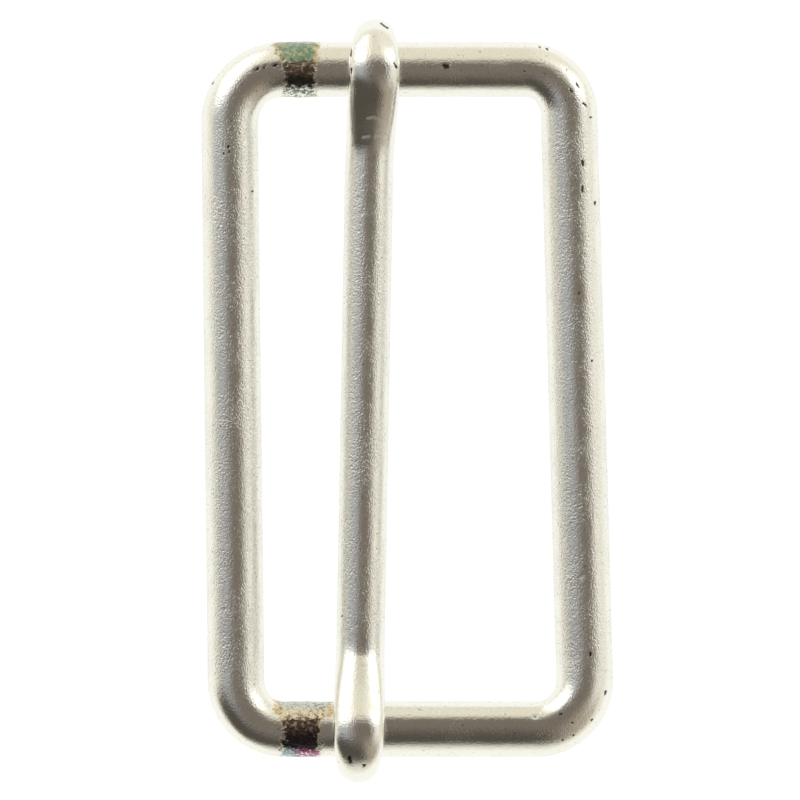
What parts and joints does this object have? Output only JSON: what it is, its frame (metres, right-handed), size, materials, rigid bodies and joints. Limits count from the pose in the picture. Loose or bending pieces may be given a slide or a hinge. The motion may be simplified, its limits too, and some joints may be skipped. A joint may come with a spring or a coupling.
{
  "type": "slide buckle",
  "caption": "Flat rectangular slide buckle for a flat strap: a welded wire frame with a loose cross bar whose curled ends slide along the short rails.",
  "frame": {"origin": "centre of the frame, in the middle plane of its wire", "axes": "+X across the buckle, along the short rails that the bar slides on, away from the welds; +Y along the buckle, towards the upper weld; +Z out of the front, where the bar crosses over the short rails"},
  "size_m": [0.0287, 0.0532, 0.0069],
  "materials": {
    "plated_wire": "satin silver-white plating, finely pitted",
    "weld_oxide": "bare weld with dark oxide, straw, green and violet heat colours"
  },
  "bodies": {
    "frame": {"frame_long_bow": "plated_wire", "frame_short_bow": "plated_wire", "upper_butt_weld": "weld_oxide", "lower_butt_weld": "weld_oxide"},
    "bar": {"slide_bar": "plated_wire"}
  },
  "joints": [
    {"name": "bar_slide", "type": "slide", "parent": "frame", "child": "bar", "axis": [1, 0, 0], "range_m": [-0.0033, 0.0086]}
  ]
}
